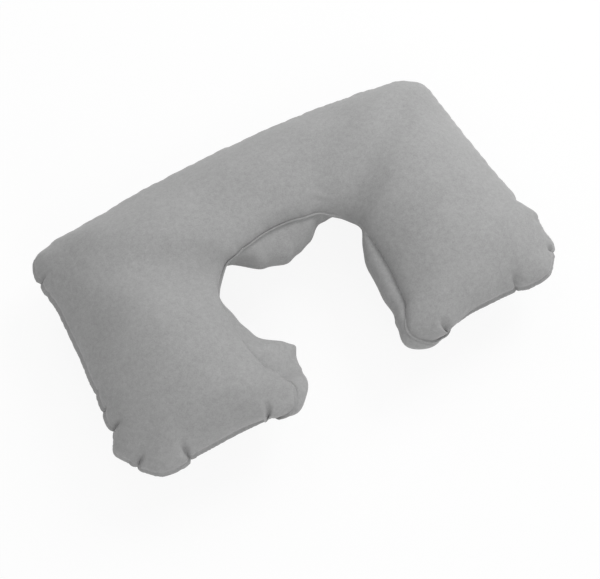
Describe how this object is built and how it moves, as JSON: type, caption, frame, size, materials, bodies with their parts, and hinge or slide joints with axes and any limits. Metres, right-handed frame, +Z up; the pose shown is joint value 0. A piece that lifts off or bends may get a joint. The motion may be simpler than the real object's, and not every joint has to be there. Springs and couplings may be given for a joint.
{
  "type": "inflatable u shaped neck pillow",
  "caption": "Inflated U-shaped flocked neck pillow with a rounded neck opening, welded outer seam, inner gusset and a push-in inflation valve under one leg.",
  "frame": {"origin": "centre of the bounding box in plan, on the surface that the pillow lies on", "axes": "+Z up, +X across the pillow from leg to leg, +Y from the leg tips to the back"},
  "size_m": [0.4058, 0.2521, 0.0945],
  "materials": {
    "flock_sheet": "matte grey flock on pvc sheet",
    "flock_gusset": "matte grey flock on pvc strip",
    "valve_vinyl": "smooth soft vinyl",
    "valve_film": "thin smooth soft vinyl"
  },
  "bodies": {
    "bladder": {"top_sheet": "flock_sheet", "bottom_sheet": "flock_sheet", "neck_gusset": "flock_gusset", "valve_flange": "valve_vinyl", "valve_bellows": "valve_film"},
    "stem": {"valve_stem": "valve_vinyl", "valve_strap": "valve_vinyl"},
    "plug": {"valve_plug": "valve_vinyl"},
    "flap": {"valve_flap": "valve_film"}
  },
  "joints": [
    {"name": "stem_slide", "type": "slide", "parent": "bladder", "child": "stem", "axis": [-0.6157, 0, -0.788], "range_m": [0, 0.01], "deforming": ["valve_bellows"]},
    {"name": "plug_slide", "type": "slide", "parent": "stem", "child": "plug", "axis": [-0.6157, 0, -0.788], "range_m": [0, 0.009], "deforming": ["valve_strap"]},
    {"name": "flap_hinge", "type": "hinge", "parent": "stem", "child": "flap", "pos_m": [-0.17731, -0.04088, 0.03313], "axis": [0, -1, 0], "range_deg": [0, 60], "stiffness_Nm_per_rad": 0.00001}
  ]
}
